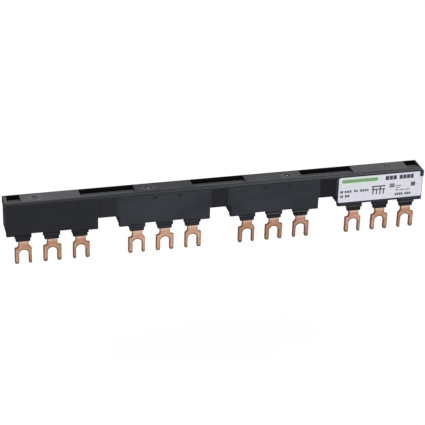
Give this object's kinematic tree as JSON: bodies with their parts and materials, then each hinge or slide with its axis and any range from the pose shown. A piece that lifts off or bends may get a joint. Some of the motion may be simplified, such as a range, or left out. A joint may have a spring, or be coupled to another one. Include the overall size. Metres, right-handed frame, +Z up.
{
  "type": "comb busbar",
  "caption": "Insulated three-bar comb busbar with copper fork terminals in evenly spaced groups, for linking a row of circuit breakers.",
  "frame": {"origin": "middle of the length and of the depth, at the level of the fork tips", "axes": "+X along the length, +Y to the back, away from the labelled front, +Z up from the fork tips to the top lands"},
  "size_m": [0.2046, 0.012, 0.0308],
  "materials": {
    "cover_plastic": "fine matt moulded black thermoplastic",
    "housing_plastic": "fine matt moulded black thermoplastic, slightly glossier lands",
    "copper": "stamped bare copper, dull, with darker cut edges",
    "insulation": "thin natural-coloured insulating sheet",
    "label": "satin silver-white printed film"
  },
  "bodies": {
    "root": {"front_cover": "cover_plastic", "rear_housing": "housing_plastic", "comb_left": "copper", "comb_middle": "copper", "comb_right": "copper", "insulating_strip_front": "insulation", "insulating_strip_rear": "insulation", "label": "label"}
  },
  "joints": []
}
